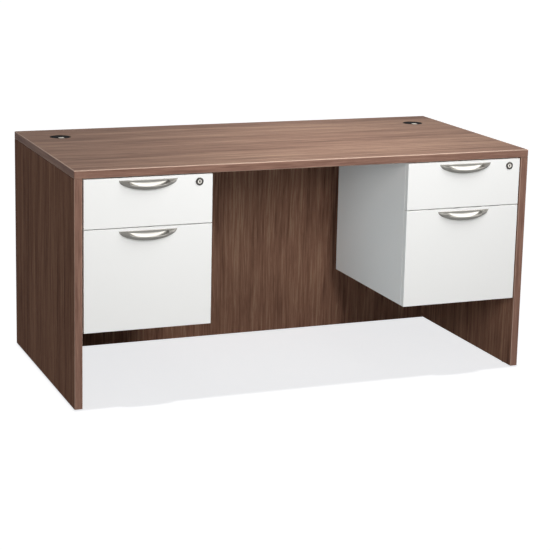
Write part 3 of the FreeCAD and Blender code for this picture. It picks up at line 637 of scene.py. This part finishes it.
def finish(name):
    """The material of that name, made the first time it is asked for."""
    known = bpy.data.materials.get(name)
    if known:
        return known
    colours, sizes = bpy.context.scene.desk_colours, bpy.context.scene.desk_sizes
    grain = (colours.walnut_dark, colours.walnut_mid, colours.walnut_light)
    # Painted shade: the upright boards' print is tinted darker and warmer.
    shaded_upright_grain = tuple(Vector(tone) * Vector(colours.upright_shade_tint) for tone in grain)
    band_mid = (Vector(colours.band_dark) + Vector(colours.band_light)) / 2
    band_grain = (colours.band_dark, band_mid, colours.band_light)
    low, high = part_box("worktop")
    rounding = sizes.band - sizes.band_round + QUARTER_TURN * sizes.band_round
    # Colour and reach of the bands' pale rounded edges, partly scraped plastic and partly a painted highlight.
    scrape_and_highlight = (colours.band_scrape_and_highlight, rounding + (high.z - low.z) / 2 - sizes.band_round, rounding)
    printed = {
        # Printed paper under melamine, pressed with a fine wood texture: a satin, streaky brown.
        "walnut_melamine_along_x": ("Object", X, grain, BOARD_GRAIN, (0.46, 0.58, 0.02)),
        # The upright boards take the tinted print, a painted shade.
        "walnut_melamine_along_z": ("Object", Z, shaded_upright_grain, BOARD_GRAIN, (0.46, 0.58, 0.001)),
        # Printed plastic band: the same streaks along the edge, with pale rounded edges: scraped plastic and
        # painted highlight.
        "walnut_plastic_band": ("UV", X, band_grain, EDGE_GRAIN, (0.40, 0.50, 0.015), scrape_and_highlight),
    }
    plain = {
        # White melamine pressed with a pearl texture: even, off-white and satin.
        "white_melamine": (colours.white, 0.015, 1.6, (0.40, 0.50), 0.03),
        # Cast zinc plated with nickel and brushed along its length: grey metal with a soft stretched sheen.
        "brushed_nickel": (colours.nickel, 0.10, 0.5, (0.34, 0.42), 0.01, 1.0, (60, 1, 1)),
        # Black nickel over cast zinc: the dark rim round each lock.
        "black_nickel": (colours.bezel_nickel, 0.10, 0.5, (0.28, 0.38), 0.01, 1.0),
        # Nickel-plated brass, faced on a lathe: brighter than the pulls, and soft, with no clear reflection.
        "faced_nickel": (colours.plug_nickel, 0.08, 0.4, (0.60, 0.70), 0.005, 1.0),
        # Rolled steel with a blue-white zinc plate: grey metal with a faint cloudy spangle.
        "zinc_on_steel": (colours.zinc, 0.18, 4.0, (0.30, 0.45), 0.01, 1.0),
        # Moulded ABS with a spark-eroded surface: near black, dull, finely pitted.
        "black_abs": (colours.black, 0.30, 0.7, (0.48, 0.60), 0.04, 0.0, (1, 1, 1), 0.006),
        # Moulded nylon: milky, slightly yellow and waxy.
        "glide_nylon": (colours.nylon, 0.06, 1.2, (0.38, 0.48), 0.02),
    }
    if name in printed:
        return walnut(name, *printed[name])
    return speckled(name, *plain[name])


def dress(names, material):
    """Give CAD nodes a finish in their own material slots."""
    for name in names:
        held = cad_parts[name].data.materials
        held.clear()
        held.append(finish(material))


def add_boards(names, radius, body, material):
    """Stand a rounded board in for each CAD board."""
    for name in names:
        low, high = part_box(name)
        add_piece(f"{name}_board", [rounded_box(low, high, radius)], material, body, [name])


class DESK_OT_walnut_boards(bpy.types.Operator):
    """Give the worktop, end panels and modesty panel their walnut grain"""

    bl_idname = "desk.walnut_boards"
    bl_label = "Walnut boards"

    def execute(self, context):
        dress(["worktop"], "walnut_melamine_along_x")
        dress(["left_end_panel", "right_end_panel", "modesty_panel"], "walnut_melamine_along_z")
        return {"FINISHED"}


class DESK_OT_edge_bands(bpy.types.Operator):
    """Make the rounded bands round the worktop and on the end panels"""

    bl_idname = "desk.edge_bands"
    bl_label = "Edge bands"

    def execute(self, context):
        sizes = context.scene.desk_sizes
        low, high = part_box("worktop")
        bands = [band_ring(low, high, sizes.band, sizes.band_round)]
        for side in SIDES:
            low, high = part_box(f"{side}_end_panel")
            for sign, edge in ((-1, low.y - sizes.band), (1, high.y)):
                near = (low.x, edge, low.z)
                far = (high.x, edge + sizes.band, high.z)
                bands.append(upright_band(near, far, sign, sizes.band_round))
        add_piece(
            "edge_band_strips", bands, "walnut_plastic_band", "desk", ["edge_bands"],
        )
        return {"FINISHED"}


class DESK_OT_drawer_cases(bpy.types.Operator):
    """Make the pedestals' case boards with rounded edges"""

    bl_idname = "desk.drawer_cases"
    bl_label = "Drawer cases"

    def execute(self, context):
        sizes = context.scene.desk_sizes
        for side in SIDES:
            boards = [f"{side}_pedestal_{part}" for part in ("outer_side", "inner_side", "bottom", "back")]
            add_boards(boards, sizes.board_round, "desk", "white_melamine")
            dress([f"{side}_pedestal_top"], "white_melamine")
        return {"FINISHED"}


class DESK_OT_drawers(bpy.types.Operator):
    """Make the drawer fronts with rounded edges, and finish the drawer boxes"""

    bl_idname = "desk.drawers"
    bl_label = "Drawers"

    def execute(self, context):
        sizes = context.scene.desk_sizes
        for drawer in DRAWERS:
            body = f"{drawer}_drawer"
            add_boards([f"{body}_front"], sizes.board_round, body, "white_melamine")
            box = ("left_side", "right_side", "bottom", "back")
            dress([f"{body}_{part}" for part in box], "white_melamine")
        return {"FINISHED"}


class DESK_OT_pulls(bpy.types.Operator):
    """Make the half-moon pulls"""

    bl_idname = "desk.pulls"
    bl_label = "Pulls"

    def execute(self, context):
        sizes = context.scene.desk_sizes
        for drawer in DRAWERS:
            low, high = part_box(f"{drawer}_handle")
            bowl = scoop((low.x + high.x) / 2, high.y, high.z, sizes)
            add_piece(
                f"{drawer}_pull", [bowl], "brushed_nickel", f"{drawer}_drawer",
                [f"{drawer}_handle"],
            )
        return {"FINISHED"}


class DESK_OT_locks(bpy.types.Operator):
    """Make the lock barrels with rounded bezels, and the key plugs with their cams and a black block in each
    keyway as painted shade
    """

    bl_idname = "desk.locks"
    bl_label = "Locks"

    def execute(self, context):
        sizes = context.scene.desk_sizes
        bore, bore_round = sizes.plug_radius, 0.6 * MM
        for side in SIDES:
            low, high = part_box(f"{side}_lock_barrel")
            radius = (high.x - low.x) / 2 + sizes.bezel_lap
            front, seat = low.y, low.y + sizes.bezel_depth
            outer = round_corner((radius, front), (0, front), (radius, seat), sizes.bezel_round, steps=6)
            inner = round_corner((bore, front), (bore, seat), (radius, front), bore_round, steps=3)
            behind = [[radius, seat], [sizes.barrel_radius, seat], [sizes.barrel_radius, high.y]]
            profile = np.vstack([[[bore, high.y]], inner, outer, behind])
            centre = ((low.x + high.x) / 2, 0, (low.z + high.z) / 2)
            barrel = turned(profile, centre, Y)
            add_piece(
                f"{side}_lock_bezel", [barrel], "black_nickel", f"{side}_box_drawer",
                [f"{side}_lock_barrel"],
            )
            self.add_plug(side, centre, sizes)
        return {"FINISHED"}

    def add_plug(self, side, centre, sizes):
        """The key plug, its cam, the screw that holds the cam, and a black block in the keyway as painted
        shade.
        """
        low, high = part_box(f"{side}_lock_plug")
        radius, cam_front = high.x - centre[0], high.y - sizes.cam_thickness
        half, rise = sizes.keyway_width / 2, sizes.keyway_height / 2
        keyway_depth, cam_trim, cam_round = 4 * MM, 0.5 * MM, 0.8 * MM
        head_radius, head_rise, head_depth = 3.4 * MM, 1.2 * MM, 1.4 * MM
        head_slot, head_recess = (3 * MM, 0.5 * MM, 0.6), 0.6 * MM
        keyway_shade_front, keyway_shade_back, keyway_shade_round = low.y + 1.2 * MM, low.y + 4.5 * MM, 0.4 * MM
        face, back = (centre[0], low.y, centre[2]), (centre[0], high.y + head_rise, centre[2])
        plug = slotted_disc(radius, cam_front - low.y, face, Y, -1, [(rise, half, 0.0)], keyway_depth)
        cam = rounded_box((low.x, cam_front, low.z + cam_trim), (high.x, high.y, high.z - cam_trim), cam_round)
        screw = slotted_disc(head_radius, head_depth, back, Y, 1, [head_slot], head_recess)
        # A black block set just inside the keyway: painted shade in the keyway.
        keyway_shade = rounded_box(
            (centre[0] - half, keyway_shade_front, centre[2] - rise),
            (centre[0] + half, keyway_shade_back, centre[2] + rise), keyway_shade_round,
        )
        add_piece(f"{side}_lock_keyway_shade", [keyway_shade], "black_abs", f"{side}_lock", [])
        add_piece(
            f"{side}_lock_key_plug", [plug, cam, screw], "faced_nickel", f"{side}_lock",
            [f"{side}_lock_plug"],
        )


class DESK_OT_grommets(bpy.types.Operator):
    """Make the cable grommets' sleeves and caps, and a pale flap in each cable slot as a painted highlight"""

    bl_idname = "desk.grommets"
    bl_label = "Cable grommets"

    def execute(self, context):
        sizes = context.scene.desk_sizes
        low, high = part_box("grommet_sleeves")
        bore, throat, wall = sizes.sleeve_bore, sizes.sleeve_throat, sizes.sleeve_radius
        flange, under = (high.y - low.y) / 2, high.z - sizes.flange_thickness
        flange_round, bore_round, cap_round, flap_round = 1.2 * MM, 0.5 * MM, 0.9 * MM, 0.7 * MM
        cap_clearance, ledge_height = 0.3 * MM, 3 * MM
        flap_gap, flap_lift, flap_sink = 0.6 * MM, 0.8 * MM, 0.4 * MM
        half, slot_end = sizes.cable_slot_width / 2, sizes.cable_slot_depth - bore
        sleeves = []
        for side in SIDES:
            body = f"{side}_grommet_cap"
            cap_low, cap_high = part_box(f"{side}_grommet_cap")
            centre = ((cap_low.x + cap_high.x) / 2, (low.y + high.y) / 2, 0)
            seat = cap_low.z - cap_clearance
            rim = round_corner((flange, high.z), (0, high.z), (flange, under), flange_round, steps=5)
            lip = round_corner((bore, high.z), (bore, under), (flange, high.z), bore_round, steps=3)
            ledge = [[bore, seat - ledge_height], [throat, seat - ledge_height], [throat, seat], [bore, seat]]
            outside = [[flange, under], [wall, under], [wall, low.z]]
            profile = np.vstack([[[bore, low.z]], ledge, lip, rim, outside])
            sleeves.append(turned(profile, centre, Z, segments=96))
            radius = (cap_high.x - cap_low.x) / 2
            cap = slotted_cap(radius, cap_low.z, cap_high.z, centre, half, slot_end, cap_round)
            mouth = -math.sqrt(radius ** 2 - half ** 2)
            # A pale nylon flap in the cable slot stands in for a highlight there: a painted highlight.
            highlight_flap = rounded_box(
                (centre[0] - half + flap_gap, centre[1] + mouth, cap_low.z + flap_lift),
                (centre[0] + half - flap_gap, centre[1] + slot_end - flap_gap, cap_high.z - flap_sink),
                flap_round,
            )
            add_piece(f"{side}_cable_slot_highlight", [highlight_flap], "glide_nylon", body, [])
            add_piece(f"{side}_grommet_lid", [cap], "black_abs", body, [body])
        add_piece("grommet_flanges", sleeves, "black_abs", "desk", ["grommet_sleeves"])
        return {"FINISHED"}


class DESK_OT_metalwork(bpy.types.Operator):
    """Finish the runners and the hanging screws, and make the pulls' screws"""

    bl_idname = "desk.metalwork"
    bl_label = "Runners and screws"

    def execute(self, context):
        sizes = context.scene.desk_sizes
        dress(["case_runners", "hanging_screws"], "zinc_on_steel")
        dress([f"{side}_file_middle_runners" for side in SIDES], "zinc_on_steel")
        for drawer in DRAWERS:
            body = f"{drawer}_drawer"
            dress([f"{body}_runners"], "zinc_on_steel")
            low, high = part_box(f"{drawer}_handle_screws")
            radius, z, head = (high.z - low.z) / 2, (low.z + high.z) / 2, sizes.screw_head
            cross = cross_slots(radius, reach=0.6, width=0.15, turn=0.5)
            recess, screws = 1.4 * MM, []
            for x in (low.x + radius, high.x - radius):
                screws.append(slotted_disc(radius, head, (x, high.y, z), Y, 1, cross, recess))
                screws.append(threaded_rod(sizes.screw_radius, high.y - head, low.y, (x, 0, z), Y))
            add_piece(
                f"{drawer}_pull_screws", screws, "zinc_on_steel", body,
                [f"{drawer}_handle_screws"],
            )
        return {"FINISHED"}


class DESK_OT_cams(bpy.types.Operator):
    """Make the cam drums with their cross slots, and the bolts that they hold"""

    bl_idname = "desk.cams"
    bl_label = "Cam fasteners"

    def execute(self, context):
        sizes = context.scene.desk_sizes
        finished, drum = [], (sizes.drum_radius, sizes.drum_length)
        cross = cross_slots(sizes.drum_radius, reach=0.68, width=0.13, turn=0.4)
        recess = 2.2 * MM
        modesty_low, modesty_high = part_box("modesty_panel")
        for sign, side in zip((-1, 1), SIDES):
            low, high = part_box(f"{side}_end_panel")
            inner = high.x if sign < 0 else low.x
            height = high.z - sizes.drum_setback
            near, far = low.y - sizes.band + sizes.drum_inset, high.y + sizes.band - sizes.drum_inset
            for y in (near, (near + far) / 2, far):
                finished.append(slotted_disc(*drum, (inner, y, height), X, -sign, cross, recess))
                finished.append(threaded_rod(
                    sizes.bolt_radius, height - sizes.bolt_hold, high.z + sizes.bolt_bite,
                    ((low.x + high.x) / 2, y, 0), Z,
                ))
            x = inner - sign * sizes.drum_setback
            for z in (modesty_low.z + sizes.drum_inset, modesty_high.z - sizes.drum_inset):
                finished.append(slotted_disc(*drum, (x, modesty_high.y, z), Y, 1, cross, recess))
                finished.append(threaded_rod(
                    sizes.bolt_radius, x - sign * sizes.bolt_hold, inner + sign * sizes.bolt_bite,
                    (0, (modesty_low.y + modesty_high.y) / 2, z), X,
                ))
        add_piece(
            "cam_drums_and_bolts", finished, "zinc_on_steel", "desk", ["cam_fasteners"],
        )
        return {"FINISHED"}


class DESK_OT_glides(bpy.types.Operator):
    """Make the nail-on floor glides under the end panels"""

    bl_idname = "desk.glides"
    bl_label = "Floor glides"

    def execute(self, context):
        sizes = context.scene.desk_sizes
        low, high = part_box("floor_glides")
        radius, height = sizes.glide_radius, sizes.glide_height
        foot_round, nail_point = 2.8 * MM, 3 * MM
        foot = round_corner((radius, low.z), (radius, height), (0, low.z), foot_round, steps=8)
        tip = [[sizes.nail_radius, height], [sizes.nail_radius, high.z - nail_point], [0, high.z]]
        profile = np.vstack([[[0, low.z]], foot[::-1], [[radius, height]], tip])
        across, deep = (low.x + radius, high.x - radius), (low.y + radius, high.y - radius)
        places = [(x, y, 0) for x in across for y in deep]
        glides = [turned(profile, place, Z, segments=48) for place in places]
        add_piece("glides", glides, "glide_nylon", "desk", ["floor_glides"])
        return {"FINISHED"}


class DESK_OT_stage(bpy.types.Operator):
    """Set the floor, the lights and the camera"""

    bl_idname = "desk.stage"
    bl_label = "Stage"

    def execute(self, context):
        scene = context.scene
        stage = scene.desk_stage
        scene.view_settings.view_transform = "Standard"
        self.set_world(scene, stage)
        self.set_lights(scene, self.set_floor(scene, stage))
        self.set_camera(scene, stage)
        return {"FINISHED"}

    def seen(self, tree):
        """One for rays from the eye, from gloss and through glass, and zero for the rest."""
        path = add(tree, "LightPath").node.outputs
        level = path["Is Camera Ray"]
        for ray in ("Is Glossy Ray", "Is Transmission Ray"):
            level = add(tree, "Math", links={0: level, 1: path[ray]}, operation="MAXIMUM")
        return level

    def set_world(self, scene, stage):
        """White to the eye and in reflections, and a soft grey light on everything else."""
        world = bpy.data.worlds.new("studio")
        tree = empty_tree(world)
        strength = add(tree, "MapRange", {"To Min": stage.surround_light}, {"Value": self.seen(tree)})
        white = add(tree, "Background", {"Color": (1, 1, 1, 1)}, {"Strength": strength})
        add(tree, "OutputWorld", links={"Surface": white})
        scene.world = world

    def set_floor(self, scene, stage):
        """A pale floor that takes the desk's shadow, brightened to white for the eye and in reflections."""
        half = stage.floor_size / 2
        mesh = bpy.data.meshes.new("studio_floor")
        corners = [(-half, -half, 0), (half, -half, 0), (half, half, 0), (-half, half, 0)]
        mesh.from_pydata(corners, [], [(0, 1, 2, 3)])
        floor = bpy.data.objects.new("studio_floor", mesh)
        scene.collection.objects.link(floor)
        material = bpy.data.materials.new("pale_studio_floor")
        tree = empty_tree(material)
        glow_level = add(tree, "Math", {1: stage.floor_glow}, {0: self.seen(tree)}, operation="MULTIPLY")
        mid_grey, cool_white = (0.50, 0.50, 0.50, 1), (0.975, 0.982, 1, 1)
        matt = add(tree, "BsdfDiffuse", {"Color": mid_grey})
        glow = add(tree, "Emission", {"Color": cool_white}, {"Strength": glow_level})
        both = add(tree, "AddShader", links={0: matt, 1: glow})
        add(tree, "OutputMaterial", links={"Surface": both})
        mesh.materials.append(material)
        return floor

    def set_lights(self, scene, floor):
        """A sun straight down for the shadow, soft boxes all round, and a card that only gloss shows.

        The boxes light the desk and not the floor, so that the floor's shadow is the sun's alone. Gloss shows
        the card and the white surroundings, and none of the boxes.
        """
        lit = {}
        for name, state in (("floor_alone", "INCLUDE"), ("all_but_the_floor", "EXCLUDE")):
            lit[name] = bpy.data.collections.new(name)
            lit[name].objects.link(floor)
            lit[name].collection_objects[0].light_linking.link_state = state
        white, cool = (1.0, 1.0, 1.0), (0.76, 0.92, 1.0)
        aims = {
            "overhead_sun": ("SUN", (0, 0, 4), (0, 0, 0), 1.25, None, white),
            "front_box": ("AREA", (-0.25, -2.6, 1.7), (0.0, -0.2, 0.5), 32.2, (0.6, 0.9), white),
            "left_box": ("AREA", (-2.6, -3.4, 1.4), (-0.6, 0.0, 0.4), 20.5, (0.8, 0.8), white),
            "high_box": ("AREA", (0.85, -1.6, 2.7), (0.6, -0.5, 0.6), 35.0, (1.6, 1.4), white),
            "top_pool": ("AREA", (0.2, -0.05, 1.5), (0.2, -0.05, 0.7), 4.4, (0.3, 0.3), white),
            "knee_fill": ("AREA", (-0.31, -0.22, 0.42), (0.33, -0.22, 0.42), 0.86, (0.2, 0.4), cool),
            "back_box": ("AREA", (1.2, 4.2, 1.0), (0.2, 0.2, 0.4), 55.0, (3.0, 1.4), white),
            "metal_card": ("AREA", (1.75, -2.9, 3.2), (0.0, -0.3, 0.7), 430.0, (4.4, 4.6), white),
        }
        for name, (kind, place, target, power, size, tint) in aims.items():
            lamp = bpy.data.lights.new(name, kind)
            lamp.energy, lamp.color = power, tint
            holder = bpy.data.objects.new(name, lamp)
            if kind == "SUN":
                lamp.angle = math.radians(2.0)
                holder.light_linking.receiver_collection = lit["floor_alone"]
            else:
                lamp.shape = "RECTANGLE"
                lamp.size, lamp.size_y = size
                holder.light_linking.receiver_collection = lit["all_but_the_floor"]
            holder.matrix_world = Matrix.Translation(place) @ (
                (Vector(target) - Vector(place)).to_track_quat("-Z", "Y").to_matrix().to_4x4()
            )
            holder.visible_camera = False
            holder.visible_glossy = name.endswith("card")
            holder.visible_diffuse = not holder.visible_glossy
            scene.collection.objects.link(holder)

    def set_camera(self, scene, stage):
        """The photograph's viewpoint: yaw about the upright, then pitch down, then roll."""
        yaw, pitch, roll = stage.camera_turn
        lens = bpy.data.cameras.new("camera")
        lens.sensor_width = SENSOR_MM
        lens.lens = stage.focal_pixels / FRAME_PIXELS * SENSOR_MM
        lens.shift_y = stage.camera_shift
        lens.clip_end = 5 * stage.floor_size
        camera = bpy.data.objects.new("camera", lens)
        place = Matrix.Translation(stage.camera_place)
        for angle, axis in ((-yaw, "Z"), (QUARTER_TURN - pitch, "X"), (roll, "Z")):
            place = place @ Matrix.Rotation(angle, 4, axis)
        camera.matrix_world = place
        scene.collection.objects.link(camera)
        scene.camera = camera


OPERATORS = (
    DESK_OT_walnut_boards,
    DESK_OT_edge_bands,
    DESK_OT_drawer_cases,
    DESK_OT_drawers,
    DESK_OT_pulls,
    DESK_OT_locks,
    DESK_OT_grommets,
    DESK_OT_metalwork,
    DESK_OT_cams,
    DESK_OT_glides,
    DESK_OT_stage,
)


class DESK_PT_desk(bpy.types.Panel):
    """Sizes, colours and steps of the desk"""

    bl_idname = "DESK_PT_desk"
    bl_label = "Pedestal desk"
    bl_space_type = "VIEW_3D"
    bl_region_type = "UI"
    bl_category = "Desk"

    def draw(self, context):
        for group in (context.scene.desk_sizes, context.scene.desk_colours, context.scene.desk_stage):
            column = self.layout.column(align=True)
            for name in group.__annotations__:
                column.prop(group, name)
        for operator in OPERATORS:
            self.layout.operator(operator.bl_idname)


GROUPS = {"desk_sizes": DeskSizes, "desk_colours": DeskColours, "desk_stage": DeskStage}


def register():
    """Register the settings, the operators and the panel."""
    for name, group in GROUPS.items():
        bpy.utils.register_class(group)
        setattr(bpy.types.Scene, name, PointerProperty(type=group))
    for made in (*OPERATORS, DESK_PT_desk):
        bpy.utils.register_class(made)


def unregister():
    """Take them away again, in the opposite order."""
    for made in (DESK_PT_desk, *reversed(OPERATORS)):
        bpy.utils.unregister_class(made)
    for name, group in reversed(GROUPS.items()):
        delattr(bpy.types.Scene, name)
        bpy.utils.unregister_class(group)


def main():
    register()
    bpy.ops.desk.walnut_boards()
    bpy.ops.desk.edge_bands()
    bpy.ops.desk.drawer_cases()
    bpy.ops.desk.drawers()
    bpy.ops.desk.pulls()
    bpy.ops.desk.locks()
    bpy.ops.desk.grommets()
    bpy.ops.desk.metalwork()
    bpy.ops.desk.cams()
    bpy.ops.desk.glides()
    bpy.ops.desk.stage()


if __name__ == "__main__":
    main()
